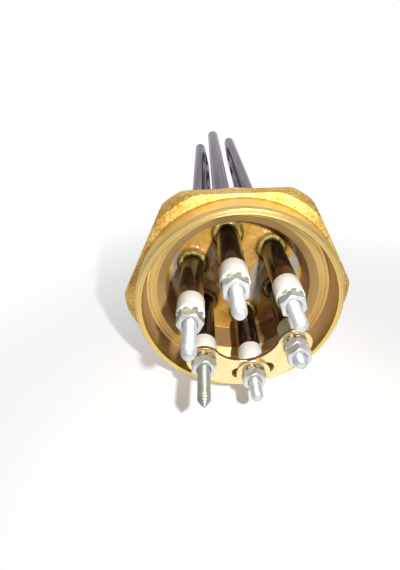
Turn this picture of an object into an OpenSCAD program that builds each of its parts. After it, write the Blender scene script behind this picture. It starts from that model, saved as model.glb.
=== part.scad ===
// Screw plug immersion heater: a brass plug with a stepped terminal cup and three U-bent elements.
// It is drawn upright with the terminals up, then laid down so that the axis of the plug runs along Y.

/* [Plug] */
// Outer diameter of the thread on the shank
thread_d = 59.6; // [58:0.1:62]
// Pitch of the thread, which is drawn as closed rings
thread_pitch = 2.3; // [1.8:0.1:3]
// Depth of the thread
thread_depth = 1.2; // [0.6:0.1:1.5]
// Plain run of the shank between the seat and the thread
thread_relief = 3; // [1:0.5:6]
// Wall between the thread and the deep bore of the cup
shank_wall = 4.55; // [3.5:0.05:5.5]
// Width of the slope that leads down into the deep bore
ledge_slope = 2.75; // [1.5:0.05:4]
// Width of the flat ledge round the slope
ledge_w = 3.5; // [2:0.1:5]
// Height of the flat ledge above the seat
ledge_rise = 3; // [1.5:0.1:4]
// Wall of the round collar at the mouth of the cup
collar_wall = 2.25; // [1.5:0.05:3.5]
// Height of the collar in front of the hexagon
collar_h = 8; // [6:0.5:14]
// Chamfer on the outer edge of the collar
collar_chamfer = 0.8; // [0.3:0.1:1.2]
// Width of the hexagon outside the collar, at the middle of a flat
hex_step = 1.25; // [0.5:0.05:4]
// Thickness of the hexagon
hex_thick = 5; // [4:0.5:12]
// Amount turned off each corner of the hexagon
corner_cut = 1.9; // [0.5:0.1:3]
// Depth of the slope turned on the front of each corner
corner_slope = 1.5; // [0.5:0.1:2.5]
// Length of the shank from the seat
shank_len = 22; // [18:0.5:32]
// Chamfer at the end of the shank
shank_chamfer = 1.5; // [0.5:0.1:2.5]
// Thickness of the closed end of the shank
floor_thick = 8; // [5:0.5:10]

/* [Elements] */
// Distance from the axes of the terminals to the wall of the cup
terminal_inset = 8.35; // [7.5:0.05:9.5]
// Turn of the terminals against the hexagon
terminal_turn = 9.3; // [0:0.1:15]
// Outer diameter of the element tubes
tube_d = 8; // [7:0.1:8.5]
// Wall of the element tubes
tube_wall = 0.7; // [0.5:0.05:1]
// Length from the seat to the tips of the bends
immersed_len = 240; // [160:5:400]
// Straight run of the tubes between the shank and the set
set_start = 12; // [8:1:30]
// Gap between the outer elements and the middle one, past the set
element_gap = 4.6; // [2.6:0.1:4.6]
// Diameter of the resistance coil
coil_d = 4.4; // [3.5:0.1:5]
// Distance that the terminal pins end short of the set
pin_short = 2; // [1:0.5:6]

/* [Terminals] */
// Height of most tube ends above the cup floor
tube_stand = 28.2; // [20:0.2:34]
// Extra height of the upper middle tube end
rise_upper_middle = 1.4; // [0:0.1:3]
// Extra height of the upper right tube end
rise_upper_right = 1; // [0:0.1:3]
// Outer diameter of the ceramic bushes
bush_d = 8.4; // [8.2:0.1:10]
// Length of a bush in front of its tube
bush_len = 8; // [5:0.2:16]
// Length of the spigot of a bush inside its tube
spigot_len = 3; // [2:0.5:5]
// Chamfer on the edges of a bush
bush_chamfer = 0.5; // [0.2:0.1:0.8]
// Diameter of the terminal pins and their threads
stud_d = 4; // [3.5:0.1:4.5]
// Reach of the upper left stud past its bush
reach_upper_left = 17.7; // [10:0.1:25]
// Reach of the upper middle stud past its bush
reach_upper_middle = 14.8; // [10:0.1:25]
// Reach of the upper right stud past its bush
reach_upper_right = 13.4; // [10:0.1:25]
// Reach of the lower left stud past its bush
reach_lower_left = 19.6; // [12:0.1:25]
// Reach of the lower middle stud past its bush
reach_lower_middle = 14.5; // [12:0.1:25]
// Reach of the lower right stud past its bush
reach_lower_right = 10.8; // [10.5:0.1:25]
// Length of the tapered tip of most studs
tip_len = 1; // [0.5:0.1:1.5]
// Length of the pointed tip of the lower left stud
point_len = 2.6; // [1.5:0.1:4]
// Diameter that the tips taper to
tip_d = 2.8; // [1.5:0.1:3.2]
// Diameter that the pointed tip tapers to
point_d = 0.8; // [0.4:0.1:2]
// Width of the nuts across their flats
nut_af = 7; // [6.5:0.1:8]
// Height of the nuts
nut_h = 3.2; // [2.6:0.1:3.6]
// Height of the thinner nut on the lower right stud
jam_nut_h = 2.7; // [1.8:0.1:3]
// Height of the thin nut under the bridge on the lower middle stud
under_nut_h = 1.8; // [1.4:0.1:2.4]
// Outer diameter of the toothed lock washers
lock_washer_d = 8; // [7.4:0.1:9]
// Height of the lock washers over their set teeth
lock_washer_h = 0.9; // [0.5:0.1:1.2]
// Width of the plain ring of a lock washer
lock_ring_w = 0.9; // [0.6:0.1:1.2]
// Number of teeth on a lock washer
lock_teeth = 9; // [6:1:12]

/* [Star bridge] */
// Width of the bridge
bridge_w = 10.6; // [9:0.2:11.4]
// Extra diameter of the round ends of the bridge over its width
eye_over = 0.4; // [0.2:0.1:1]
// Thickness of the bridge
bridge_t = 1.2; // [0.8:0.1:2]
// Length of the slot round the middle terminal
slot_len = 14.2; // [8:0.2:18]
// Extra diameter of the drilled ends of the slot over its width
slot_over = 0.2; // [0.1:0.05:0.6]
// Outer diameter of the plain washer over the slot
plain_washer_d = 11.2; // [9:0.1:12]
// Thickness of the plain washer
plain_washer_t = 0.8; // [0.5:0.1:1.2]

/* [Seals] */
// Depth of the resin on the cup floor
seal_depth = 1.2; // [0.6:0.1:2]
// Diameter of the braze collars at the cup floor
braze_collar_d = 11.4; // [10:0.1:12]
// Height of the braze collars
braze_collar_h = 3; // [2:0.1:4]
// Diameter of the braze fillets on the wet face
braze_fillet_d = 10.6; // [9.5:0.1:12]
// Height of the braze fillets on the wet face
braze_fillet_h = 1.4; // [0.8:0.1:2]

/* [Clearances] */
// Radial gap between a tube and its hole, which the braze fills
braze_gap = 0.05; // [0.02:0.01:0.1]
// Radial gap between a spigot and the tube round it
spigot_gap = 0.1; // [0.05:0.01:0.2]
// Radial gap between a stud and the bore of its bush
bush_gap = 0.1; // [0.05:0.01:0.2]
// Radial gap between a stud and the nuts and washers on it
stud_gap = 0.06; // [0.02:0.01:0.15]
// Radial gap between a stud and the bridge
bridge_gap = 0.15; // [0.1:0.01:0.3]

/* [Hidden] */
TERMINALS = ["upper_left", "upper_middle", "upper_right", "lower_left", "lower_middle", "lower_right"];
ELEMENTS = ["left", "middle", "right"];
$fn = 96;
// A cut reaches this far past the face that it opens
past = 1;

// Diameters of the plug, each a step or a wall outside the one before
cup_d = thread_d - 2 * shank_wall;
ledge_d = cup_d + 2 * ledge_slope;
mouth_d = ledge_d + 2 * ledge_w;
collar_d = mouth_d + 2 * collar_wall;
hex_across_flats = collar_d + 2 * hex_step;
hex_corner_d = hex_across_flats / cos(30) - 2 * corner_cut;
// Whole rings of thread that fit between the relief and the chamfer, each with a narrow flat crest after it
thread_rings = floor((shank_len - shank_chamfer - thread_relief) / thread_pitch);
thread_crest = 0.2 * thread_pitch;

// Heights are measured from the seat, upwards to the terminals
mouth_z = hex_thick + collar_h;
ledge_z = ledge_rise;
floor_z = floor_thick - shank_len;
bridge_z = floor_z + tube_stand + bush_len;
bridge_top_z = bridge_z + bridge_t;
// The lower middle tube ends lower by the nut that stands between its bush and the bridge
tube_rise = [0, rise_upper_middle, rise_upper_right, 0, -under_nut_h, 0];
tube_end_z = [for (rise = tube_rise) floor_z + tube_stand + rise];
bush_end_z = [for (end = tube_end_z) end + bush_len];

// Places of the terminals and of the legs of each element
terminal_r = cup_d / 2 - terminal_inset;
terminal_angle = [150, 90, 30, 210, 270, 330];
side_x = terminal_r * cos(30);
side_y = terminal_r * sin(30);
leg_x = [-side_x, 0, side_x];
leg_y = [side_y, terminal_r, side_y];

// Depths are measured from the seat, down the tubes
set_depth = shank_len + set_start;
// The outer elements are set in by whole tenths of a millimetre
set_in = round(10 * (side_x - tube_d - element_gap)) / 10;
pin_end = set_depth - pin_short;
set_end = set_depth + 7 * set_in;
// The set is two equal bends: their centres stand 24 sets across and 7 sets along, 25 sets apart
set_bend_r = 12.5 * set_in;
set_angle = atan2(7, 24);

tube_bore = tube_d - 2 * tube_wall;
slot_w = stud_d + 2 * bridge_gap;
slot_swing = (slot_len - slot_w - slot_over) / terminal_r * 90 / PI;
stud_reach = [
    reach_upper_left, reach_upper_middle, reach_upper_right,
    reach_lower_left, reach_lower_middle, reach_lower_right
];
stud_tip = [tip_len, tip_len, tip_len, point_len, tip_len, tip_len];
stud_tip_d = [tip_d, tip_d, tip_d, point_d, tip_d, tip_d];
bridge_swing = (terminal_angle[5] - terminal_angle[3]) / 2;
nut_turn = [0, 30, -15, 13, 22, 36];
jam_nut_turn = 39;
under_nut_turn = 30;

// Height that the lock washer of each terminal stands on
washer_seat_z = [
    bush_end_z[0], bush_end_z[1], bush_end_z[2],
    bridge_top_z, bridge_top_z + plain_washer_t, bridge_top_z
];
nut_seat_z = [for (i = [0 : 5]) washer_seat_z[i] + lock_washer_h + (i == 5 ? jam_nut_h : 0)];

brass_cast = "#c9952f";
brass_sheet = "#e0bf62";
braze_gold = "#b3a049";
resin_amber = "#b9731d";
stainless = "#a9a6a2";
zinc = "#d7d9da";
ceramic_white = "#f4f0e4";
magnesia_grey = "#dcd8cf";
nichrome = "#7f7a76";

// Lays the upright drawing down, so that the terminals face along -Y
module laid() {
    rotate([90, 0, 0])
        children();
}

// Puts a piece at terminal i, at a height over the seat
module at_terminal(i, z) {
    angle = terminal_angle[i] + terminal_turn;
    translate([terminal_r * cos(angle), terminal_r * sin(angle), z])
        children();
}

// Plug: a turned and cast body of revolution, with a hexagon whose corners are turned off
module hexagon() {
    intersection() {
        cylinder(h = hex_thick, d = hex_across_flats / cos(30), $fn = 6);
        rotate_extrude()
            polygon([
                [0, 0],
                [hex_corner_d / 2, 0],
                [hex_corner_d / 2, hex_thick - corner_slope],
                [hex_corner_d / 2 - corner_slope, hex_thick],
                [0, hex_thick]
            ]);
    }
}

module collar() {
    translate([0, 0, hex_thick])
        rotate_extrude()
            polygon([
                [0, 0],
                [collar_d / 2, 0],
                [collar_d / 2, collar_h - collar_chamfer],
                [collar_d / 2 - collar_chamfer, collar_h],
                [0, collar_h]
            ]);
}

// Shank whose thread is a row of V-shaped rings
module shank() {
    r = thread_d / 2;
    half_v = (thread_pitch - thread_crest) / 2;
    rings = [
        for (k = [0 : thread_rings - 1], point = [[r, 0], [r - thread_depth, half_v], [r, 2 * half_v]])
            [point[0], -thread_relief - k * thread_pitch - point[1]]
    ];
    rotate_extrude()
        polygon(concat(
            [[0, 0], [r, 0]],
            rings,
            [[r, shank_chamfer - shank_len], [r - shank_chamfer, -shank_len], [0, -shank_len]]
        ));
}

module cup() {
    rotate_extrude()
        polygon([
            [0, floor_z],
            [cup_d / 2, floor_z],
            [cup_d / 2, ledge_z - ledge_slope],
            [ledge_d / 2, ledge_z],
            [mouth_d / 2, ledge_z],
            [mouth_d / 2, mouth_z + past],
            [0, mouth_z + past]
        ]);
}

module plug_body() {
    color(brass_cast)
        laid()
            difference() {
                union() {
                    hexagon();
                    collar();
                    shank();
                }
                cup();
                for (i = [0 : 5])
                    at_terminal(i, -shank_len - past)
                        cylinder(h = floor_thick + 2 * past, r = tube_d / 2 + braze_gap);
            }
}

// Sloped ring of braze standing on a face round a tube
module braze_ring(d, h) {
    foot = (d - tube_d) / 2;
    rotate_extrude()
        translate([tube_d / 2, 0])
            polygon([
                [0, 0],
                [foot, 0],
                [foot, 0.4 * h],
                [0.4 * foot, h],
                [0, h]
            ]);
}

module braze_collars() {
    color(braze_gold)
        laid()
            for (i = [0 : 5])
                at_terminal(i, floor_z)
                    braze_ring(braze_collar_d, braze_collar_h);
}

module braze_fillets() {
    color(braze_gold)
        laid()
            for (i = [0 : 5])
                at_terminal(i, -shank_len)
                    mirror([0, 0, 1])
                        braze_ring(braze_fillet_d, braze_fillet_h);
}

// Resin poured over the cup floor, round the feet of the braze collars
module cup_seal() {
    color(resin_amber)
        laid()
            difference() {
                translate([0, 0, floor_z])
                    cylinder(h = seal_depth, d = cup_d);
                for (i = [0 : 5])
                    at_terminal(i, floor_z - past)
                        cylinder(h = seal_depth + 2 * past, d = braze_collar_d);
            }
}

// Half of the set, from its square end to the slanting plane where the two bends meet
module set_bend(d, x, half) {
    centre_x = half == 1 ? x - set_bend_r : x - set_in + set_bend_r;
    centre_z = half == 1 ? set_depth : set_end;
    keep_from = half == 1 ? -set_bend_r : 0;
    intersection() {
        translate([centre_x, 0, centre_z])
            rotate([90, 0, 0])
                rotate_extrude(angle = 2 * set_angle, start = half == 1 ? 0 : 180)
                    translate([set_bend_r, 0])
                        circle(d = d);
        translate([x - set_in / 2, 0, (set_depth + set_end) / 2])
            rotate([0, -set_angle, 0])
                translate([-tube_d, -tube_d, keep_from])
                    cube([2 * tube_d, 2 * tube_d, set_bend_r]);
    }
}

// One leg of an element from depth start, with the sideways set that brings the outer elements in
module leg(d, start, x, bend_depth) {
    straight_end = x == 0 ? bend_depth : set_depth;
    translate([x, 0, start])
        cylinder(h = straight_end - start, d = d);
    if (x != 0) {
        set_bend(d, x, 1);
        set_bend(d, x, 2);
        translate([x - set_in, 0, set_end])
            cylinder(h = bend_depth - set_end, d = d);
    }
}

// The whole U of element e as a round bar of diameter d, from two depths down to the bend
module hairpin(e, d, upper_start, lower_start) {
    x = abs(leg_x[e]);
    y = leg_y[e];
    bend_depth = immersed_len - tube_d / 2 - y;
    rotate(terminal_turn)
        mirror([0, 0, 1])
            mirror([leg_x[e] < 0 ? 1 : 0, 0, 0]) {
                translate([0, y, 0])
                    leg(d, upper_start, x, bend_depth);
                translate([0, -y, 0])
                    leg(d, lower_start, x, bend_depth);
                translate([x == 0 ? 0 : x - set_in, 0, bend_depth])
                    rotate([90, 0, 90])
                        rotate_extrude(angle = 180)
                            translate([y, 0])
                                circle(d = d);
            }
}

module sheath(e) {
    color(stainless)
        laid()
            difference() {
                hairpin(e, tube_d, -tube_end_z[e], -tube_end_z[e + 3]);
                hairpin(e, tube_bore, -tube_end_z[e] - past, -tube_end_z[e + 3] - past);
            }
}

module magnesia(e) {
    color(magnesia_grey)
        laid()
            difference() {
                hairpin(e, tube_bore, spigot_len - tube_end_z[e], spigot_len - tube_end_z[e + 3]);
                hairpin(e, coil_d, pin_end, pin_end);
                for (i = [e, e + 3])
                    at_terminal(i, -pin_end)
                        cylinder(h = pin_end + tube_end_z[i] - spigot_len + past, d = stud_d);
            }
}

module coil(e) {
    color(nichrome)
        laid()
            hairpin(e, coil_d, pin_end, pin_end);
}

// Terminal pin: one rod from the coil to the threaded, tapered tip
module stud(i) {
    length = pin_end + bush_end_z[i] + stud_reach[i];
    color(zinc)
        laid()
            at_terminal(i, -pin_end)
                rotate_extrude()
                    polygon([
                        [0, 0],
                        [stud_d / 2, 0],
                        [stud_d / 2, length - stud_tip[i]],
                        [stud_tip_d[i] / 2, length],
                        [0, length]
                    ]);
}

// Ceramic bush with a spigot that sits in the tube end
module bush(i) {
    bore_r = stud_d / 2 + bush_gap;
    spigot_r = tube_bore / 2 - spigot_gap;
    color(ceramic_white)
        laid()
            at_terminal(i, tube_end_z[i])
                rotate_extrude()
                    polygon([
                        [bore_r, -spigot_len],
                        [spigot_r, -spigot_len],
                        [spigot_r, 0],
                        [bush_d / 2 - bush_chamfer, 0],
                        [bush_d / 2, bush_chamfer],
                        [bush_d / 2, bush_len - bush_chamfer],
                        [bush_d / 2 - bush_chamfer, bush_len],
                        [bore_r, bush_len]
                    ]);
}

module lock_washer(i) {
    bore_r = stud_d / 2 + stud_gap;
    tooth_w = lock_washer_d * sin(90 / lock_teeth);
    color(zinc)
        laid()
            at_terminal(i, washer_seat_z[i])
                linear_extrude(lock_washer_h)
                    difference() {
                        union() {
                            circle(r = bore_r + lock_ring_w);
                            intersection() {
                                circle(d = lock_washer_d);
                                for (k = [1 : lock_teeth])
                                    rotate(360 / lock_teeth * k)
                                        translate([0, -tooth_w / 2])
                                            square([lock_washer_d, tooth_w]);
                            }
                        }
                        circle(r = bore_r);
                    }
}

// Hexagon nut with both faces turned to a cone at the corners
module hex_nut(h, turn) {
    face_r = nut_af / 2 * 0.97;
    rim_r = nut_af * 0.7;
    rim_drop = (rim_r - face_r) * tan(30);
    rotate(turn)
        difference() {
            intersection() {
                cylinder(h = h, d = nut_af / cos(30), $fn = 6);
                rotate_extrude()
                    polygon([
                        [0, 0],
                        [face_r, 0],
                        [rim_r, rim_drop],
                        [rim_r, h - rim_drop],
                        [face_r, h],
                        [0, h]
                    ]);
            }
            translate([0, 0, -past])
                cylinder(h = h + 2 * past, r = stud_d / 2 + stud_gap);
        }
}

module nut(i) {
    color(zinc)
        laid()
            at_terminal(i, nut_seat_z[i])
                hex_nut(nut_h, nut_turn[i]);
}

module jam_nut_lower_right() {
    color(zinc)
        laid()
            at_terminal(5, washer_seat_z[5] + lock_washer_h)
                hex_nut(jam_nut_h, jam_nut_turn);
}

module under_nut_lower_middle() {
    color(zinc)
        laid()
            at_terminal(4, bush_end_z[4])
                hex_nut(under_nut_h, under_nut_turn);
}

// Arc of rectangular section centred on the terminal circle, with a round eye at each end
module arc_bar(swing, w, eye_d, h) {
    middle = terminal_angle[4] + terminal_turn;
    rotate(middle - swing)
        rotate_extrude(angle = 2 * swing)
            translate([terminal_r - w / 2, 0])
                square([w, h]);
    for (side = [-1, 1])
        rotate(middle + side * swing)
            translate([terminal_r, 0, 0])
                cylinder(h = h, d = eye_d);
}

module star_bridge() {
    color(brass_sheet)
        laid()
            difference() {
                translate([0, 0, bridge_z])
                    arc_bar(bridge_swing, bridge_w, bridge_w + eye_over, bridge_t);
                translate([0, 0, bridge_z - past])
                    arc_bar(slot_swing, slot_w, slot_w + slot_over, bridge_t + 2 * past);
                for (i = [3, 5])
                    at_terminal(i, bridge_z - past)
                        cylinder(h = bridge_t + 2 * past, d = slot_w);
            }
}

module plain_washer() {
    color(brass_sheet)
        laid()
            at_terminal(4, bridge_top_z)
                difference() {
                    cylinder(h = plain_washer_t, d = plain_washer_d);
                    translate([0, 0, -past])
                        cylinder(h = plain_washer_t + 2 * past, r = stud_d / 2 + stud_gap);
                }
}

plug_body();
cup_seal();
braze_collars();
braze_fillets();
for (e = [0 : 2]) {
    sheath(e);
    magnesia(e);
    coil(e);
}
for (i = [0 : 5]) {
    stud(i);
    bush(i);
    lock_washer(i);
    nut(i);
}
jam_nut_lower_right();
under_nut_lower_middle();
star_bridge();
plain_washer();
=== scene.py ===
import math

import bmesh
import bpy
import numpy as np
from mathutils import Matrix


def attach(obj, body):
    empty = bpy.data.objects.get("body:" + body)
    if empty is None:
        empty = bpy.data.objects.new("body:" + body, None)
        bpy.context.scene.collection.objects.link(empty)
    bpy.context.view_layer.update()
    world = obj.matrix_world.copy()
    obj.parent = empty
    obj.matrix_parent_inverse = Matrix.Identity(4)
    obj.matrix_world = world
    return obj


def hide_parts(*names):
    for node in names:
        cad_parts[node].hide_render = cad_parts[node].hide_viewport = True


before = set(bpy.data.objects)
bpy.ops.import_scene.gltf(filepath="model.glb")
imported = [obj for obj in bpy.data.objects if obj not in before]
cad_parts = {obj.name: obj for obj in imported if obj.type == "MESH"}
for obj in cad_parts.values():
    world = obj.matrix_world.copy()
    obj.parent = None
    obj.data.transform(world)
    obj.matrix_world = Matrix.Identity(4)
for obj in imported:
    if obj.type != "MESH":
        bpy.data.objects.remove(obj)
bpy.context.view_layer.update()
print("heater frame loaded:", len(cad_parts), "nodes")

mm = 0.001  # shapes are in millimetres until they go into a mesh; finishes are in metres
meshing = {"mergeGap": 2e-6, "thinEdge": 1e-7}  # metres

# six terminals on one circle, seen from the front: a is to the right, b is up, h is height over the seat
terminals = {
    "names": ["upper_left", "upper_middle", "upper_right", "lower_left", "lower_middle", "lower_right"],
    "circleR": 16.9,
    "turn": 9.3,  # degrees that the whole circle is turned by
    "angles": [150, 90, 30, 210, 270, 330],
    "tubeEnd": [14.2, 15.6, 15.2, 14.2, 12.4, 14.2],
    "bushEnd": [22.2, 23.6, 23.2, 22.2, 20.4, 22.2],
    "reach": [17.7, 14.8, 13.4, 19.6, 14.5, 10.8],  # of each stud past its bush
}
lowerLeft, lowerMiddle, lowerRight = 3, 4, 5  # places in the lists above
apart = 60  # degrees from one terminal to the next
circleR, circleTurn = terminals["circleR"], terminals["turn"]
terminalAngle = np.radians(np.array(terminals["angles"]) + circleTurn)
terminalA = circleR * np.cos(terminalAngle)
terminalB = circleR * np.sin(terminalAngle)


# drawn upright, then laid down: a stays X, height goes to -Y, b goes to Z
def laid(a, b, h):
    a, b, h = np.broadcast_arrays(a, b, h)
    return np.stack([a, -h, b], -1) * mm


# quads between neighbouring points of a grid, joined round to the first where it closes
def gridQuads(rows, cols, closeRows, closeCols):
    i, j = np.meshgrid(np.arange(rows - (not closeRows)), np.arange(cols - (not closeCols)), indexing="ij")
    nextI, nextJ = (i + 1) % rows, (j + 1) % cols
    corners = [i * cols + j, i * cols + nextJ, nextI * cols + nextJ, nextI * cols + j]
    return np.stack(corners, -1).reshape(-1, 4)


# a piece from grids of points: each grid is (points, closeRows, closeCols), and touching edges are merged
def makePiece(name, grids, look, nodes, sharp, marks=None):
    points, quads, start = [], [], 0
    for grid, closeRows, closeCols in grids:
        points.append(grid.reshape(-1, 3))
        quads.append(gridQuads(grid.shape[0], grid.shape[1], closeRows, closeCols) + start)
        start += grid.shape[0] * grid.shape[1]
    points, quads = np.concatenate(points), np.concatenate(quads)
    mesh = bpy.data.meshes.new(name)
    mesh.vertices.add(len(points))
    mesh.vertices.foreach_set("co", points.astype(np.float32).ravel())
    mesh.loops.add(quads.size)
    mesh.loops.foreach_set("vertex_index", quads.astype(np.int32).ravel())
    mesh.polygons.add(len(quads))
    mesh.polygons.foreach_set("loop_start", np.arange(0, quads.size, 4, dtype=np.int32))
    mesh.update(calc_edges=True)
    for markName, values in (marks or {}).items():
        layer = mesh.attributes.new(markName, "FLOAT", "POINT")
        layer.data.foreach_set("value", values.astype(np.float32).ravel())
    work = bmesh.new()
    work.from_mesh(mesh)
    bmesh.ops.remove_doubles(work, verts=work.verts, dist=meshing["mergeGap"])
    bmesh.ops.dissolve_degenerate(work, edges=work.edges, dist=meshing["thinEdge"])
    bmesh.ops.recalc_face_normals(work, faces=work.faces)
    work.to_mesh(mesh)
    work.free()
    mesh.polygons.foreach_set("use_smooth", np.ones(len(mesh.polygons), bool))
    mesh.set_sharp_from_angle(angle=math.radians(sharp))
    piece = bpy.data.objects.new(name, mesh)
    bpy.context.scene.collection.objects.link(piece)
    mesh.materials.append(look)
    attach(piece, "root")
    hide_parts(*nodes)
    return piece


# a piece of one grid that closes both ways, like a ring
def ringPiece(name, grid, look, node, sharp, marks=None):
    makePiece(name, [(grid, True, True)], look, [node], sharp, marks)


# a line of straight runs whose corners are arcs: each arc turns evenly between the two tangent points
def roundedLine(corners, radii, steps=5):
    corners = np.array(corners, float)
    line = [corners[:1]]
    for before, corner, after, radius in zip(corners[:-2], corners[1:-1], corners[2:], radii):
        back = (before - corner) / np.linalg.norm(before - corner)
        on = (after - corner) / np.linalg.norm(after - corner)
        half = math.acos(np.clip(back @ on, -1, 1)) / 2
        centre = corner + (back + on) / np.linalg.norm(back + on) * radius / math.sin(half)
        first = corner + back * radius / math.tan(half) - centre
        last = corner + on * radius / math.tan(half) - centre
        swing = math.pi - 2 * half
        t = np.linspace(0, 1, steps + 1)[:, None]
        line.append(centre + (np.sin((1 - t) * swing) * first + np.sin(t * swing) * last) / math.sin(swing))
    line.append(corners[-1:])
    return np.concatenate(line)


# a closed loop of corners, every corner rounded
def roundedLoop(corners, radii, steps=4):
    corners = list(corners)
    line = roundedLine(corners[-1:] + corners + corners[:1], radii, steps)
    return line[1:-1]


# angles round a full turn
def fullTurn(count):
    return np.linspace(0, 2 * np.pi, count, endpoint=False)


# points about a terminal: radius times the cosine and sine of the angle, at a height
def aboutTerminal(i, r, angle, h):
    return laid(terminalA[i] + r * np.cos(angle), terminalB[i] + r * np.sin(angle), h)


# a section turned about a terminal: radius and height of the section at every angle
def turned(section, i, around):
    return aboutTerminal(i, section[:, :1], fullTurn(around), section[:, 1:])


# radius and height grids from rows of (radius, height), each one number or one for each angle
def ringRows(rows, angle):
    return [np.stack([row[k] + 0 * angle for row in rows]) for k in (0, 1)]


# slow waves over an angle: the mean of a few sines with fixed starts
def ripple(x, starts, speeds):
    return sum(np.sin(speed * x + start) for start, speed in zip(starts, speeds)) / len(speeds)


# thread, 0 on the crest and 1 in the root: half of one minus the cosine of height in turns less the angle
def threadWave(h, pitch, angle):
    return 0.5 - 0.5 * np.cos(2 * np.pi * (h / pitch - angle / (2 * np.pi)))


# radius of a hexagon: that of its flats over the cosine of the angle from the middle of the nearest flat
def hexEdge(angle, flatR):
    return flatR / np.cos(np.mod(angle, np.pi / 3) - np.pi / 6)


# finishes: small helpers for node trees
noiseSpan = (0.3, 0.7)  # where most of a noise's values lie


# what comes from another node is linked, a plain value is set on the socket
def feed(tree, node, inputs):
    for key, value in inputs.items():
        if isinstance(value, bpy.types.NodeSocket):
            tree.links.new(value, node.inputs[key])
        else:
            node.inputs[key].default_value = value


def put(tree, kind, inputs=None, **settings):
    node = tree.nodes.new(kind)
    for key, value in settings.items():
        setattr(node, key, value)
    feed(tree, node, inputs or {})
    return node


# a new material with its nodes, its shader and the place on the object
def newLook(name):
    look = bpy.data.materials.new(name)
    look.use_nodes = True
    tree = look.node_tree
    return look, tree, tree.nodes["Principled BSDF"], put(tree, "ShaderNodeTexCoord").outputs["Object"]


def depthAlong(tree, place):
    return put(tree, "ShaderNodeSeparateXYZ", {0: place}).outputs["Y"]


def markOf(tree, name):
    return put(tree, "ShaderNodeAttribute", attribute_name=name).outputs["Fac"]


# noise, drawn out along an axis where the stretch is small
def speckle(tree, place, scale, detail=4, rough=0.55, stretch=(1, 1, 1)):
    spot = put(tree, "ShaderNodeMapping", {"Vector": place, "Scale": stretch}).outputs[0]
    noise = {"Vector": spot, "Scale": scale, "Detail": detail, "Roughness": rough}
    return put(tree, "ShaderNodeTexNoise", noise).outputs["Fac"]


def shades(tree, value, stops):
    ramp = put(tree, "ShaderNodeValToRGB", {"Fac": value})
    while len(ramp.color_ramp.elements) < len(stops):
        ramp.color_ramp.elements.new(0.5)
    for element, (at, colour) in zip(ramp.color_ramp.elements, stops):
        element.position = at
        element.color = (*colour, 1)
    return ramp.outputs["Color"]


# a value that goes from low to high while the first one crosses its span
def ranged(tree, value, low, high, span=noiseSpan):
    limits = {"Value": value, "From Min": span[0], "From Max": span[1], "To Min": low, "To Max": high}
    return put(tree, "ShaderNodeMapRange", limits).outputs[0]


def sums(tree, kind, one, two):
    return put(tree, "ShaderNodeMath", {0: one, 1: two}, operation=kind).outputs[0]


def plus(tree, one, two):
    return sums(tree, "ADD", one, two)


def times(tree, one, two):
    return sums(tree, "MULTIPLY", one, two)


# a share of the first value and the rest of the second
def mixed(tree, share, one, two):
    return plus(tree, times(tree, one, share), times(tree, two, 1 - share))


def vectors(tree, kind, one, two):
    return put(tree, "ShaderNodeVectorMath", {0: one, 1: two}, operation=kind).outputs[0]


def lengthOf(tree, vector):
    return put(tree, "ShaderNodeVectorMath", {0: vector}, operation="LENGTH").outputs["Value"]


# colours, or values that are used as colours, blended by an amount
def blend(tree, amount, one, two):
    one, two = [tone if isinstance(tone, bpy.types.NodeSocket) else (*tone, 1) for tone in (one, two)]
    return put(tree, "ShaderNodeMix", {0: amount, 6: one, 7: two}, data_type="RGBA").outputs[2]


# a colour made darker and lighter
def toned(colour, span):
    return [[part * c for c in colour] for part in span]


def bumped(tree, shader, height, strength, distance):
    bump = put(tree, "ShaderNodeBump", {"Height": height, "Strength": strength, "Distance": distance})
    tree.links.new(bump.outputs[0], shader.inputs["Normal"])


# one for rays that were mirrored or let through by a surface, else nothing
def mirroredRay(tree, path):
    return sums(tree, "MAXIMUM", path.outputs["Is Glossy Ray"], path.outputs["Is Transmission Ray"])


# cast brass: grainy, ringed where the mark "finish" says, mauve by the mark for tarnish and painted shade on
# the cup's walls, tan where "varnish" says
brassLook = {
    "grain": (1900, 5, 0.7), "cloud": (130, 3), "grainShare": 0.72, "rings": {"Scale": 2600, "Detail": 3},
    "cast": [(0.36, (0.42, 0.20, 0.035)), (0.5, (0.74, 0.47, 0.118)), (0.62, (0.94, 0.76, 0.31))],
    "turned": [(0.3, (0.74, 0.48, 0.14)), (0.7, (0.95, 0.73, 0.28))],
    # mauve: a tarnish tone that also paints the shade of the cup's mouth wall
    "mauve": (0.39, 0.21, 0.20), "mauveSpan": (0.6, 1.35), "mauveCloud": (0.75, 1.0), "mauveDull": 0.9,
    "tan": (0.50, 0.29, 0.125), "tanSpan": (0.7, 1.25), "tanCloud": (0.8, 1.0), "tanDull": 0.85,
    "rough": (0.52, 0.32),  # cast, turned
    "grainRough": (-0.06, 0.08), "dullRough": 0.25, "bump": (0.9, 0.00012),
}


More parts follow.
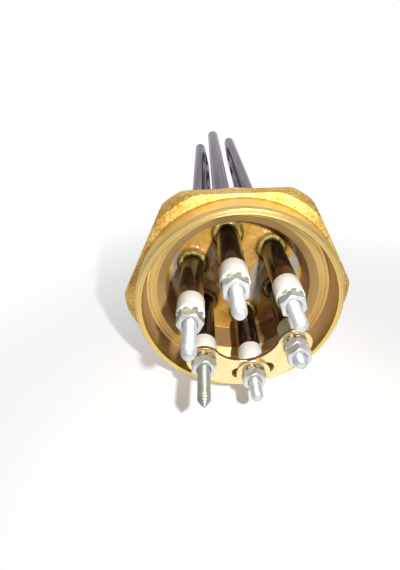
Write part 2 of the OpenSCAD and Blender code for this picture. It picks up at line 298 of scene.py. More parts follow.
def castBrass():
    look, tree, shader, place = newLook("castBrass")
    p = brassLook
    finish, tarnishShade, varnish = [markOf(tree, mark) for mark in ("finish", "tarnishShade", "varnish")]
    grain = speckle(tree, place, *p["grain"])
    cloud = speckle(tree, place, *p["cloud"])
    fromAxis = lengthOf(tree, vectors(tree, "MULTIPLY", place, (1, 0, 1)))  # the plug's axis runs along Y
    cuts = plus(tree, fromAxis, depthAlong(tree, place))
    ring = put(tree, "ShaderNodeTexNoise", {"W": cuts, **p["rings"]}, noise_dimensions="1D").outputs["Fac"]
    cast = shades(tree, mixed(tree, p["grainShare"], grain, cloud), p["cast"])
    metal = blend(tree, finish, cast, shades(tree, ring, p["turned"]))
    # mauve tarnish, partly painted shade of the cup's walls
    mauveShade = times(tree, tarnishShade, ranged(tree, cloud, *p["mauveCloud"]))
    shadedMetal = blend(tree, mauveShade, metal, blend(tree, ring, *toned(p["mauve"], p["mauveSpan"])))
    lacquer = times(tree, varnish, ranged(tree, cloud, *p["tanCloud"]))
    colour = blend(tree, lacquer, shadedMetal, blend(tree, cloud, *toned(p["tan"], p["tanSpan"])))
    mauveDull = times(tree, mauveShade, p["mauveDull"])
    dull = plus(tree, mauveDull, times(tree, lacquer, p["tanDull"]))
    rough = ranged(tree, finish, *p["rough"], (0, 1))
    rough = plus(tree, rough, ranged(tree, grain, *p["grainRough"]))
    rough = plus(tree, rough, times(tree, dull, p["dullRough"]))
    metallic = sums(tree, "SUBTRACT", 1, dull)
    feed(tree, shader, {"Base Color": colour, "Metallic": metallic, "Roughness": rough})
    bumped(tree, shader, blend(tree, finish, grain, ring), *p["bump"])
    return look


# rolled brass sheet: pale, smooth, with faint drawn lines and fingerprints of tarnish
sheetLook = {
    "drawn": (420, 4, 0.6, (1, 1, 9)), "cloud": (160, 3), "drawnShare": 0.4,
    "tones": [(0.3, (0.80, 0.60, 0.27)), (0.55, (0.93, 0.76, 0.42)), (0.75, (0.97, 0.84, 0.55))],
    "rough": (0.24, 0.36), "bump": (0.15, 0.00005),
}


def sheetBrass():
    look, tree, shader, place = newLook("sheetBrass")
    p = sheetLook
    drawn = speckle(tree, place, *p["drawn"])
    tone = mixed(tree, p["drawnShare"], drawn, speckle(tree, place, *p["cloud"]))
    rough = ranged(tree, tone, *p["rough"])
    feed(tree, shader, {"Base Color": shades(tree, tone, p["tones"]), "Metallic": 1, "Roughness": rough})
    bumped(tree, shader, drawn, *p["bump"])
    return look


# silver braze: lumpy, greenish gold with bright specks
brazeLook = {
    "lump": (900, 5, 0.65), "cloud": (240, 3),
    "tones": [(0.3, (0.16, 0.095, 0.015)), (0.5, (0.40, 0.29, 0.07)), (0.7, (0.72, 0.64, 0.26))],
    "rough": (0.28, 0.5), "bump": (0.9, 0.0005),
    "shine": {"Metallic": 0.3, "Coat Weight": 0.6, "Coat Roughness": 0.05},
}


def brazeGold():
    look, tree, shader, place = newLook("brazeGold")
    p = brazeLook
    lump = speckle(tree, place, *p["lump"])
    rough = ranged(tree, speckle(tree, place, *p["cloud"]), *p["rough"])
    feed(tree, shader, {"Base Color": shades(tree, lump, p["tones"]), "Roughness": rough, **p["shine"]})
    bumped(tree, shader, lump, *p["bump"])
    return look


# sealing resin: glossy, cloudy amber, with a painted reflection in pale grey on three ragged spots
resinLook = {
    "cloud": (150, 4, 0.6), "fine": (700, 3), "cloudShare": 0.75,
    "tones": [(0.34, (0.36, 0.15, 0.016)), (0.5, (0.58, 0.31, 0.04)), (0.68, (0.70, 0.43, 0.075))],
    "reflectionTone": (0.40, 0.33, 0.25), "ragged": (-0.45, 0.45), "thinEdge": (0.9, 1.05),
    # centre of each spot of painted reflection and its half width across and up, in millimetres
    "reflectionSpots": [((-21.4, 0, 4), (2.6, 6)), ((7.8, 0, -3.5), (2.6, 9)), ((22.3, 0, 3), (2.2, 8))],
    "shine": {"Metallic": 0.1, "Roughness": 0.4, "Coat Weight": 1, "Coat Roughness": 0.03},
    "bump": (0.8, 0.0012),
}


def amberResin():
    look, tree, shader, place = newLook("amberResin")
    p = resinLook
    tone = mixed(tree, p["cloudShare"], speckle(tree, place, *p["cloud"]), speckle(tree, place, *p["fine"]))
    # pale grey spots of painted reflection, with ragged edges
    paintedReflection = 0
    for centre, (halfA, halfB) in p["reflectionSpots"]:
        away = vectors(tree, "SUBTRACT", place, [c * mm for c in centre])
        away = lengthOf(tree, vectors(tree, "MULTIPLY", away, (1 / (halfA * mm), 0, 1 / (halfB * mm))))
        away = plus(tree, away, ranged(tree, tone, *p["ragged"]))
        paintedReflection = sums(tree, "MAXIMUM", paintedReflection, ranged(tree, away, 1, 0, p["thinEdge"]))
    colour = blend(tree, paintedReflection, shades(tree, tone, p["tones"]), p["reflectionTone"])
    feed(tree, shader, {"Base Color": colour, **p["shine"]})
    bumped(tree, shader, tone, *p["bump"])
    return look


# element tube: drawn steel, varnished brown in the cup, its streaks led round the bend by three marks
tubeLook = {
    "drawn": (900, 4, 0.6, (1, 0.04, 1)), "streak": (330, 3, 0.6, (1, 0.03, 1)), "cloud": (140, 3),
    "drawnShare": 0.3,
    "bright": [(0.36, (0.12, 0.11, 0.13)), (0.5, (0.25, 0.23, 0.26)), (0.64, (0.42, 0.39, 0.41))],
    "brown": [(0.46, (0.006, 0.005, 0.004)), (0.58, (0.018, 0.010, 0.006)), (0.74, (0.085, 0.036, 0.014))],
    "brownSpan": (-0.012, 0.002), "brownLift": (0.16, -0.06),  # lighter towards the bush
    "cupEnd": (0.013, 0.016), "rough": (0.10, 0.20), "coat": 0.5, "bump": (0.08, 0.00004),
    # the tint dims what the steel mirrors at grazing angles
    "shine": {"Specular IOR Level": 0.25, "Specular Tint": (0.68, 0.64, 0.70, 1)},
}


def elementTube():
    look, tree, shader, place = newLook("elementTube")
    p = tubeLook
    along = depthAlong(tree, place)
    marks = [markOf(tree, mark) for mark in ("ringAcross", "run", "ringBeside")]
    skin = put(tree, "ShaderNodeCombineXYZ", dict(enumerate(marks))).outputs[0]
    drawn = speckle(tree, skin, *p["drawn"])
    tone = mixed(tree, p["drawnShare"], drawn, speckle(tree, skin, *p["streak"]))
    lift = ranged(tree, along, *p["brownLift"], p["brownSpan"])
    brown = shades(tree, plus(tree, speckle(tree, place, *p["cloud"]), lift), p["brown"])
    inCup = ranged(tree, along, 1, 0, p["cupEnd"])
    feed(tree, shader, {
        "Base Color": blend(tree, inCup, shades(tree, tone, p["bright"]), brown),
        "Metallic": sums(tree, "SUBTRACT", 1, inCup),
        "Roughness": ranged(tree, drawn, *p["rough"]),
        "Coat Weight": times(tree, inCup, p["coat"]),
        **p["shine"],
    })
    bumped(tree, shader, drawn, *p["bump"])
    return look


# zinc plate on steel: pale, slightly cloudy, with painted shade in the thread roots where the mark "groove"
# says
zincLook = {
    "cloud": (420, 4, 0.6), "fine": (2600, 3), "cloudShare": 0.7, "rootShadeTone": (0.02, 0.02, 0.018),
    "bright": [(0.3, (0.56, 0.58, 0.58)), (0.52, (0.65, 0.67, 0.67)), (0.72, (0.74, 0.76, 0.76))],
    # the dull tones are a darker, greenish copy of the bright zinc, used as painted shade
    "dull": [(0.3, (0.36, 0.37, 0.31)), (0.52, (0.45, 0.46, 0.39)), (0.72, (0.56, 0.56, 0.50))],
    "brightRootShade": 0.25, "shadedRootShade": 0.6, "metallic": 0.75, "rough": (0.36, 0.48), "bump": (0.12, 0.00004),
}


def plateZinc(name, tones, rootShadeAmount):
    look, tree, shader, place = newLook(name)
    p = zincLook
    fine = speckle(tree, place, *p["fine"])
    tone = mixed(tree, p["cloudShare"], speckle(tree, place, *p["cloud"]), fine)
    # painted shade in the thread roots
    root = times(tree, markOf(tree, "groove"), rootShadeAmount)
    feed(tree, shader, {
        "Base Color": blend(tree, root, shades(tree, tone, tones), p["rootShadeTone"]),
        "Metallic": p["metallic"],
        "Roughness": ranged(tree, tone, *p["rough"]),
    })
    bumped(tree, shader, fine, *p["bump"])
    return look


# steatite: dense cream ceramic with a faint glaze and fine specks
ceramicLook = {
    "cloud": (260, 3), "fine": (2200, 4, 0.7), "cloudShare": 0.6,
    "tones": [(0.3, (0.80, 0.77, 0.68)), (0.5, (0.90, 0.895, 0.84)), (0.7, (0.92, 0.915, 0.88))],
    "rough": (0.32, 0.5), "shine": {"Specular IOR Level": 0.45}, "bump": (0.1, 0.00004),
}


def creamCeramic():
    look, tree, shader, place = newLook("creamCeramic")
    p = ceramicLook
    fine = speckle(tree, place, *p["fine"])
    tone = mixed(tree, p["cloudShare"], speckle(tree, place, *p["cloud"]), fine)
    rough = ranged(tree, fine, *p["rough"])
    feed(tree, shader, {"Base Color": shades(tree, tone, p["tones"]), "Roughness": rough, **p["shine"]})
    bumped(tree, shader, fine, *p["bump"])
    return look


# packed magnesia and resistance wire, out of sight in the tubes, which keep their CAD shape
innerLooks = {
    "grain": (1800, 4), "bump": (0.3, 0.0001),
    "powder": [(0.35, (0.74, 0.72, 0.67)), (0.65, (0.88, 0.86, 0.82))],
    "powderShine": {"Metallic": 0, "Roughness": 0.9},
    "wire": [(0.35, (0.30, 0.28, 0.27)), (0.65, (0.52, 0.50, 0.48))],
    "wireShine": {"Metallic": 1, "Roughness": 0.45},
}


def innerLook(name, tones, shine):
    look, tree, shader, place = newLook(name)
    fine = speckle(tree, place, *innerLooks["grain"])
    feed(tree, shader, {"Base Color": shades(tree, fine, tones), **shine})
    bumped(tree, shader, fine, *innerLooks["bump"])
    return look


brass = castBrass()
bridgeBrass = sheetBrass()
braze = brazeGold()
resin = amberResin()
steel = elementTube()
zinc = plateZinc("brightZinc", zincLook["bright"], zincLook["brightRootShade"])
# darker zinc: a painted-shade copy for the lower-left stud and the lock washers
shadedZinc = plateZinc("shadedZinc", zincLook["dull"], zincLook["shadedRootShade"])
ceramic = creamCeramic()
powder = innerLook("packedMagnesia", innerLooks["powder"], innerLooks["powderShine"])
wire = innerLook("resistanceWire", innerLooks["wire"], innerLooks["wireShine"])
for nodeName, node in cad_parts.items():
    if nodeName.startswith(("magnesia_", "coil_")):
        node.data.materials.clear()
        node.data.materials.append(powder if nodeName.startswith("magnesia_") else wire)
print("finishes ready")

# plug body: one grid of angle by section, with floors ruled from each tube hole to its sixth
plug = {
    "cupR": 25.25, "ledgeR": 28.0, "mouthR": 31.5, "collarR": 33.75, "stepR": 34.4, "holeR": 4.05,
    "floor": -14.0, "ledge": 3.0, "mouth": 13.0, "hexTop": 5.0, "collarChamfer": 0.8,
    "rounds": [0.6, 0.5, 0.6, 0.3, 0.3, 0.35, 0.6],  # corners of the section, from the cup wall outwards
    "flatR": 35.0, "cornerR": 38.5, "cornerFaceR": 37.0, "cornerSoft": 0.16,
    "edge": 0.45, "edgeMiddle": 0.29, "seatEdge": 0.4, "seatMiddle": 0.12,
    "threadR": 29.8, "pitch": 2.309, "threadDepth": 1.3, "relief": 3.0, "fadeLength": 1.2,
    "shank": 22.0, "shankRows": 121, "endChamfer": 1.5, "sharp": 42,
    "cornerSteps": 4, "holeSteps": 3, "flatSteps": 37, "radiusSteps": 16, "floorRows": 5,
}
cornerHalf = apart / 2 - math.degrees(math.acos(plug["flatR"] / plug["cornerR"]))
stops = [0, cornerHalf, circleTurn, apart - cornerHalf, apart]
counts = [plug["cornerSteps"], plug["holeSteps"], plug["flatSteps"], plug["cornerSteps"]]
sixth = np.concatenate([np.linspace(low, high, count, endpoint=False)
                        for low, high, count in zip(stops[:-1], stops[1:], counts)])
plugAngle = np.radians((sixth + apart * np.arange(6)[:, None]).ravel())
arcStart = plug["cornerSteps"] + plug["holeSteps"]
sixthArc = np.concatenate([sixth[arcStart:], sixth[:arcStart] + apart, [circleTurn + apart]])


# where the tube of one sixth stands: on the terminal circle, halfway through the sixth
def sixthCentre(k):
    middle = np.radians(apart * (k + 0.5) + circleTurn)
    return circleR * np.cos(middle), circleR * np.sin(middle)


# edge of the sixth of a disc round one tube, as a loop: outer arc, one radius in, the other radius out
def sixthLoop(k, outerR):
    arc = np.radians(sixthArc) + np.radians(apart * k)
    inward = np.linspace(1, 0, plug["radiusSteps"] + 1)[1:]
    outward = inward[::-1][1:]
    r = np.concatenate([np.ones_like(arc), inward, outward]) * outerR
    angle = np.concatenate([arc, np.full(len(inward), arc[-1]), np.full(len(outward), arc[0])])
    return r * np.cos(angle), r * np.sin(angle)


# a sheet ruled from a circle round the tube to the edge of its sixth: the circle plus v of the way there
def ruledSixth(k, innerR, outerR, v):
    edgeA, edgeB = sixthLoop(k, outerR)
    centreA, centreB = sixthCentre(k)
    far = np.hypot(edgeA - centreA, edgeB - centreB)
    ringA = centreA + innerR * (edgeA - centreA) / far
    ringB = centreB + innerR * (edgeB - centreB) / far
    v = v[:, None]
    return ringA + v * (edgeA - ringA), ringB + v * (edgeB - ringB)


# the smaller of two radii, with the change from one to the other rounded by a logarithm of summed powers
def softLess(one, two):
    soft = plug["cornerSoft"]
    return -soft * np.logaddexp(-one / soft, -two / soft)


# wear and painted shade of the plug: strengths of the mauve tarnish, which also paints the shade of the cup's
# walls, and of the varnish, and where their zones end
wearAndShade = {
    "wallSlack": 0.05, "collarSlack": 0.2, "aboveHex": 0.3,
    # the mauve is partly painted shade: strong on the mouth wall, faint from the ledge down
    "tarnishShade": [0.12, 0.9], "overLedge": 0.3, "underMouth": 0.4,  # up to the ledge, up to the mouth
    "varnish": [1.0, 0.5], "boreTop": 0.4, "underLedge": 0.1,  # in the deep bore, on the cone over it
}


# marks for the plug's finish, by row of the section: the first zone that holds the row gives its value
def plugMarks(cup, hexCount, shape):
    p, rows, cupR, cupH = plug, len(cup), cup[:, 0], cup[:, 1]
    wall = cupR < p["mouthR"] + wearAndShade["wallSlack"]
    inside = cupR < p["collarR"] - wearAndShade["collarSlack"]
    overLedge, underMouth = p["ledge"] + wearAndShade["overLedge"], p["mouth"] - wearAndShade["underMouth"]
    tarnishShadeZones = [wall & (cupH < overLedge), wall & (cupH < underMouth)]
    varnished = [wall & (cupH < wearAndShade["boreTop"]), wall & (cupH < p["ledge"] - wearAndShade["underLedge"])]
    marks = {mark: np.zeros(shape) for mark in ("finish", "tarnishShade", "varnish")}
    marks["finish"][:rows] = (inside | (cupH > p["hexTop"] + wearAndShade["aboveHex"]))[:, None]
    marks["finish"][rows + hexCount:] = 1  # the shank is turned too, the hexagon is as cast
    marks["tarnishShade"][:rows] = np.select(tarnishShadeZones, wearAndShade["tarnishShade"], 0)[:, None]
    marks["varnish"][:rows] = np.select(varnished, wearAndShade["varnish"], 0)[:, None]
    return {mark: [values.ravel()] for mark, values in marks.items()}


# section rows from the cup floor over the collar, down the hexagon and along the shank
def buildPlug():
    p, angle = plug, plugAngle
    coneFoot = p["ledge"] - (p["ledgeR"] - p["cupR"])  # the cone rises at 45 degrees
    cup = roundedLine([
        (p["cupR"], p["floor"]), (p["cupR"], coneFoot), (p["ledgeR"], p["ledge"]), (p["mouthR"], p["ledge"]),
        (p["mouthR"], p["mouth"]), (p["collarR"] - p["collarChamfer"], p["mouth"]),
        (p["collarR"], p["mouth"] - p["collarChamfer"]), (p["collarR"], p["hexTop"]),
        (p["stepR"], p["hexTop"]),
    ], p["rounds"])
    # hexagon: a smaller circle cuts its front corners back, and the edge drops there by the same amount
    outer = hexEdge(angle, p["flatR"])
    front = softLess(outer, p["cornerFaceR"])
    side = softLess(outer, p["cornerR"])
    edgeIn = p["edgeMiddle"] * p["edge"]
    hexRows = [
        (front - p["edge"], p["hexTop"]), (front - edgeIn, p["hexTop"] - edgeIn),
        (side, p["hexTop"] - (side - front) - p["edge"]), (side, p["seatEdge"]),
        (side - p["seatMiddle"], p["seatMiddle"]), (side - p["seatEdge"], 0),
    ]
    hexR, hexH = ringRows(hexRows, angle)
    # pipe thread: radius falls by the thread wave, which fades out at the seat, and ends in the chamfer
    along = -np.linspace(0, p["shank"], p["shankRows"])[:, None]
    fade = np.clip((-along - p["relief"]) / p["fadeLength"], 0, 1)
    limit = p["threadR"] - np.clip(-along - (p["shank"] - p["endChamfer"]), 0, None)
    wave = threadWave(along, p["pitch"], angle)
    shankR = np.minimum(p["threadR"] - p["threadDepth"] * fade * wave, limit)
    r = np.concatenate([cup[:, :1] + 0 * angle, hexR, shankR])
    h = np.concatenate([cup[:, 1:] + 0 * angle, hexH, along + 0 * angle])
    grids = [(laid(r * np.cos(angle), r * np.sin(angle), h), False, True)]
    marks = plugMarks(cup, len(hexRows), r.shape)
    v = np.linspace(0, 1, p["floorRows"])
    for k in range(6):
        floor = laid(*ruledSixth(k, p["holeR"], p["cupR"], v), p["floor"])
        wetFace = laid(*ruledSixth(k, p["holeR"], p["threadR"] - p["endChamfer"], v), -p["shank"])
        hole = np.concatenate([floor[:1], wetFace[:1]])
        for sheet, varnish in ((floor, 1.0), (wetFace, 0.0), (hole, 0.0)):
            grids.append((sheet, False, True))
            for mark, value in (("finish", 1.0), ("tarnishShade", 0.0), ("varnish", varnish)):
                marks[mark].append(np.full(sheet.shape[0] * sheet.shape[1], value))
    marks = {mark: np.concatenate(values) for mark, values in marks.items()}
    makePiece("plugBody", grids, brass, ["plug_body"], p["sharp"], marks)


buildPlug()
print("plug body turned and threaded")

# cup seal: poured resin, drawn up at the wall and round every braze collar
seal = {
    "depth": 1.2, "collarR": 5.7, "wallRise": 0.75, "collarRise": 0.9, "reach": 0.9, "rows": 27, "sharp": 50,
    "lumps": 0.07, "lumpsFrom": 2, "waveA": (0.55, 1.1), "waveB": (0.47, 0.4), "slant": (1.1, -0.8, 0.5),
}


# lumps of the resin: a slow sine over a times one over b, plus a share of one that runs aslant
def sealLumps(a, b):
    (speedA, startA), (speedB, startB) = seal["waveA"], seal["waveB"]
    slantA, slantB, share = seal["slant"]
    waves = np.sin(speedA * a + startA) * np.sin(speedB * b + startB)
    return waves + share * np.sin(slantA * a + slantB * b)


# height of the resin: its depth, a rise that falls off exponentially from wall and collar, and the lumps
def buildSeal():
    p, grids = seal, []
    v = np.sin(np.linspace(-np.pi / 2, np.pi / 2, p["rows"])) / 2 + 0.5  # closer rows at both edges
    for k in range(6):
        a, b = ruledSixth(k, p["collarR"], plug["cupR"], v)
        centreA, centreB = sixthCentre(k)
        toCollar = np.hypot(a - centreA, b - centreB) - p["collarR"]
        toWall = plug["cupR"] - np.hypot(a, b)
        rise = p["wallRise"] * np.exp(-toWall / p["reach"])
        rise += p["collarRise"] * np.exp(-toCollar / p["reach"])
        clear = np.clip(toCollar / p["lumpsFrom"], 0, 1) * np.clip(toWall / p["lumpsFrom"], 0, 1)
        top = laid(a, b, plug["floor"] + p["depth"] + rise + p["lumps"] * sealLumps(a, b) * clear)
        base = laid(a, b, plug["floor"])
        arc = len(sixthArc)
        grids.append((top, False, True))
        grids.append((base[[0, -1]], False, True))
        grids.append((np.stack([top[0], base[0]]), False, True))
        grids.append((np.stack([top[-1, :arc], base[-1, :arc]]), False, False))
    makePiece("cupSeal", grids, resin, ["cup_seal"], p["sharp"])


buildSeal()

# braze beads in the cup and on the wet face: foot and crest of each kind, and how they waver
beads = {
    "tubeR": 4.0, "cup": (1.7, 3.0), "wet": (1.3, 1.4), "around": 72, "rows": 13, "sharp": 60,
    "footWaver": 0.06, "footSpeeds": (2, 3, 5, 8), "footPower": 0.8, "ridges": 9, "ridgeHeight": 0.05,
    "crestWaver": 0.16, "crestSpeeds": (1, 3, 4, 7), "crestPower": 1.1, "crestLow": 0.1,
    "starts": (0.3, 1.7, 2.9, 4.1), "startStep": 0.37,
}


# one bead: a quarter of an oval from the face up to the tube, its foot and crest wavering with the angle
def brazeBead(i, level, up, foot, crest, starts):
    p = beads
    angle = fullTurn(p["around"])
    s = np.linspace(0, np.pi / 2, p["rows"])[:, None]
    width = foot * (1 + p["footWaver"] * ripple(angle, starts, p["footSpeeds"]) - p["footWaver"])
    ridges = 1 + p["ridgeHeight"] * np.sin(p["ridges"] * angle + starts[1]) * np.sin(2 * s)
    height = crest * (1 + p["crestWaver"] * ripple(angle, starts[::-1], p["crestSpeeds"]) - p["crestLow"])
    r = p["tubeR"] + width * np.cos(s) ** p["footPower"] * ridges
    r = np.concatenate([r, [p["tubeR"] + 0 * angle]])
    h = np.concatenate([height * np.sin(s) ** p["crestPower"], [0 * angle]])
    return aboutTerminal(i, r, angle, level + up * h)


starts = [np.array(beads["starts"]) * (1 + beads["startStep"] * i) for i in range(6)]
collars = [(brazeBead(i, plug["floor"], 1, *beads["cup"], starts[i]), True, True) for i in range(6)]
fillets = [(brazeBead(i, -plug["shank"], -1, *beads["wet"], starts[i][::-1]), True, True) for i in range(6)]
makePiece("brazeCollars", collars, braze, ["braze_collars"], beads["sharp"])
makePiece("brazeFillets", fillets, braze, ["braze_fillets"], beads["sharp"])
print("cup sealed, braze laid")

# element tubes: a ring section carried along straight legs, two set bends and a half-circle
tube = {
    "outerR": 4.0, "boreR": 3.3, "length": 240.0, "around": 48, "bendSteps": 40, "sharp": 50,
    "setDepth": 34.0, "setIn": 2.0, "setBendR": 25.0, "setSteps": 10,
    "nearRings": [-3, 14, 22], "middleRing": 60, "farRing": 140,  # depths of rings on the straight runs
}


# one leg from the tube end down: straight, or set in by two equal arcs that each move it by half the set
def legLine(side, start, bendDepth):
    p = tube
    near = [start] + p["nearRings"]
    if not side:
        depth = np.array(near + [p["middleRing"], p["farRing"], bendDepth])
        return np.zeros_like(depth), depth
    setIn, bendR = p["setIn"], p["setBendR"]
    swing = math.acos(1 - setIn / (2 * bendR))
    there = np.linspace(0, swing, p["setSteps"] + 1)
    back = there[::-1][1:]
    setEnd = p["setDepth"] + 2 * bendR * math.sin(swing)
    x = np.concatenate([np.zeros(len(near)), bendR * (np.cos(there) - 1),
                        bendR * (1 - np.cos(back)) - setIn, [-setIn, -setIn]])
    depth = np.concatenate([near, p["setDepth"] + bendR * np.sin(there),
                            setEnd - bendR * np.sin(back), [p["farRing"], bendDepth]])
    return x, depth


# wall and bore are the path plus a radius times the ring, which lies across the path everywhere
def buildTube(name, side, upperEnd, lowerEnd):
    p = tube
    legAngle = math.radians(apart / 2 if side else 90)
    legX = side * circleR * math.cos(legAngle)
    legY = circleR * math.sin(legAngle)
    bendDepth = p["length"] - p["outerR"] - legY
    x, upper = legLine(side, -upperEnd, bendDepth)
    x, lower = legLine(side, -lowerEnd, bendDepth)
    x = legX + side * x
    bend = np.linspace(0, np.pi, p["bendSteps"] + 1)[1:-1]
    path = np.stack([np.concatenate([x, np.full(len(bend), x[-1]), x[::-1]]),
                     np.concatenate([np.full(len(x), legY), legY * np.cos(bend), np.full(len(x), -legY)]),
                     -np.concatenate([upper, bendDepth + legY * np.sin(bend), lower[::-1]])], -1)
    straight = 1 + len(p["nearRings"])
    along = np.gradient(path, axis=0)
    along /= np.linalg.norm(along, axis=1, keepdims=True)
    along[:straight] = (0, 0, -1)
    along[-straight:] = (0, 0, 1)
    across = np.array([1.0, 0, 0]) - along[:, :1] * along
    across /= np.linalg.norm(across, axis=1, keepdims=True)
    beside = np.cross(along, across)
    ring = fullTurn(p["around"])[None, :, None]
    shell = across[:, None] * np.cos(ring) + beside[:, None] * np.sin(ring)
    outside = path[:, None] + p["outerR"] * shell
    bore = path[:, None] + p["boreR"] * shell
    wall = np.concatenate([outside, bore[::-1]])
    turn = np.radians(circleTurn)
    a = wall[..., 0] * math.cos(turn) - wall[..., 1] * math.sin(turn)
    b = wall[..., 0] * math.sin(turn) + wall[..., 1] * math.cos(turn)
    # marks: place on the ring and length along the path, which starts elsewhere on each tube
    run = np.concatenate([[0], np.cumsum(np.linalg.norm(np.diff(path, axis=0), axis=1))])
    run += p["length"] * (2 + 2 * side)
    girth = p["outerR"] * np.concatenate([np.cos(ring), np.sin(ring)])[..., 0]
    run = np.concatenate([run, run[::-1]])[:, None]
    marks = {"ringAcross": girth[0], "ringBeside": girth[1], "run": run}
    marks = {mark: np.broadcast_to(value * mm, wall.shape[:2]) for mark, value in marks.items()}
    grid = laid(a, b, wall[..., 2])
    ringPiece("sheath." + name, grid, steel, "sheath_" + name, p["sharp"], marks)


for e, name in enumerate(["left", "middle", "right"]):
    buildTube(name, e - 1, terminals["tubeEnd"][e], terminals["tubeEnd"][lowerLeft + e])
print("tubes bent")

# bushes: a turned section with softened rims, a bore and a spigot that sits in the tube
bush = {
    "outerR": 4.2, "boreR": 2.1, "spigotR": 3.2, "spigot": -3.0, "length": 8.0, "around": 56, "sharp": 50,
    "rounds": [0.12, 0.2, 0.15, 0.4, 0.55, 0.25],
}
bushSection = roundedLoop([
    (bush["boreR"], bush["spigot"]), (bush["spigotR"], bush["spigot"]), (bush["spigotR"], 0),
    (bush["outerR"], 0), (bush["outerR"], bush["length"]), (bush["boreR"], bush["length"]),
], bush["rounds"])
for i, name in enumerate(terminals["names"]):
    grid = turned(bushSection + (0, terminals["tubeEnd"][i]), i, bush["around"])
    ringPiece("bush." + name, grid, ceramic, "bush_" + name, bush["sharp"])

# studs: rods with a threaded end, each with a tip of its own
stud = {
    "rodR": 2.0, "end": -32.0, "endRow": 0.2, "plainRow": 0.5, "around": 40, "sharp": 55,
    "pitch": 0.7, "threadDepth": 0.4, "threadBack": 7.0, "fadeLength": 1.4, "rowsPerTurn": 10,
    "tipLength": [1.4, 1.4, 0.7, 2.6, 0.8, 0.7],
    "tipR": [1.0, 1.0, 1.45, 0.35, 1.4, 1.45],
    "tipBow": [0.5, 0.5, 1.0, 1.0, 1.0, 1.0],
}


# radius falls by the thread wave and is held under the taper, which is a power of the way to the tip
def buildStud(i, name):
    p = stud
    angle = fullTurn(p["around"])
    tip = terminals["bushEnd"][i] + terminals["reach"][i]
    threadStart = terminals["bushEnd"][i] - p["threadBack"]
    turns = (tip - threadStart) / p["pitch"]
    threaded = np.linspace(threadStart, tip, int(turns * p["rowsPerTurn"]))
    plain = [p["end"], p["end"] + p["endRow"], threadStart - p["plainRow"]]
    h = np.concatenate([plain, threaded])[:, None]
    groove = np.clip((h - threadStart) / p["fadeLength"], 0, 1) * threadWave(h, p["pitch"], angle)
    toTip = np.clip((tip - h) / p["tipLength"][i], 0, 1)
    taper = p["tipR"][i] + (p["rodR"] - p["tipR"][i]) * toTip ** p["tipBow"][i]
    r = np.minimum(p["rodR"] - p["threadDepth"] * groove, taper)
    wall = aboutTerminal(i, r, angle, h)
    caps = [np.stack([row, np.broadcast_to(row.mean(0), row.shape)]) for row in (wall[0], wall[-1])]
    grids = [(grid, False, True) for grid in (wall, *caps)]
    # the groove mark also drives the painted shade in the thread roots
    marks = {"groove": np.concatenate([groove.ravel(), np.zeros(4 * len(angle))])}  # two rows on each cap
    # the lower-left stud takes the darker zinc as painted shade
    look = shadedZinc if i == lowerLeft else zinc
    makePiece("stud." + name, grids, look, ["stud_" + name], p["sharp"], marks)


for i, name in enumerate(terminals["names"]):
    buildStud(i, name)
print("bushes and studs set")

# nuts: one on each terminal, a thinner one under it at the lower right and one under the bridge
nut = {
    "flatR": 3.5, "faceR": 3.38, "boreR": 2.06, "sink": 0.32, "coneSlope": 30, "step": 4, "sharp": 24,
    "height": 3.2, "turns": [0, 30, -15, 13, 22, 36],
    "jamHeight": 2.7, "jamTurn": 39, "underHeight": 1.8, "underTurn": 30,
    "faceIn": 0.08, "faceOut": 0.02, "cornerIn": 0.05, "cornerDown": 0.07,  # soft edges
}


# radius is the hexagon's, and a cone from the face circle cuts the corners off both faces
def nutGrid(i, level, height, turn):
    p = nut
    angle = np.radians(np.arange(0, 360, p["step"]))
    corner = hexEdge(angle, p["flatR"])
    drop = (corner - p["faceR"]) * math.tan(math.radians(p["coneSlope"]))
    faceIn, faceOut, cornerIn = p["faceR"] - p["faceIn"], p["faceR"] + p["faceOut"], corner - p["cornerIn"]
    r, h = ringRows([
        (p["boreR"], p["sink"]), (p["boreR"], height - p["sink"]), (p["boreR"] + p["sink"], height),
        (faceIn, height), (faceOut, height - p["faceOut"]), (cornerIn, height - drop),
        (corner, height - drop - p["cornerDown"]), (corner, drop + p["cornerDown"]), (cornerIn, drop),
        (faceOut, p["faceOut"]), (faceIn, 0), (p["boreR"] + p["sink"], 0),
    ], angle)
    return aboutTerminal(i, r, angle + np.radians(turn), level + h)


# lock washers: a ring of sheet with nine teeth
lock = {
    "boreR": 2.06, "ringR": 2.95, "toothR": 4.0, "sheet": 0.42, "height": 0.9, "teeth": 9, "perTooth": 24,
    "toothHalf": 0.36, "toothSlope": 0.08, "twistSpan": 0.3, "twistReach": 1.0, "turnStep": 0.21,
    "sharp": 45, "out": [0, 0.5, 1, 1, 0.5, 0], "face": [1, 1, 1, -1, -1, -1],  # of each row over the teeth
}


# reach goes from ring to tooth by a smooth step in the tooth's phase, and each tooth twists about its middle
def lockGrid(i, level, turn):
    p = lock
    angle = fullTurn(p["teeth"] * p["perTooth"])
    phase = np.mod(angle * p["teeth"] / (2 * np.pi), 1) - 0.5
    ramp = np.clip((p["toothHalf"] - np.abs(phase)) / p["toothSlope"], 0, 1)
    past = (p["toothR"] - p["ringR"]) * ramp * ramp * (3 - 2 * ramp)
    out = np.array(p["out"])[:, None]
    face = np.array(p["face"])[:, None]
    swing = np.clip(phase / p["twistSpan"], -1, 1) * out * np.clip(past / p["twistReach"], 0, 1)
    twist = (p["height"] - p["sheet"]) / 2 * swing
    flat = np.zeros((1, len(angle)))
    r = np.concatenate([flat + p["boreR"], p["ringR"] + past * out, flat + p["boreR"]])
    h = np.concatenate([flat + p["sheet"] / 2, twist + face * p["sheet"] / 2, flat - p["sheet"] / 2])
    return aboutTerminal(i, r, angle + turn, level + h + p["height"] / 2)


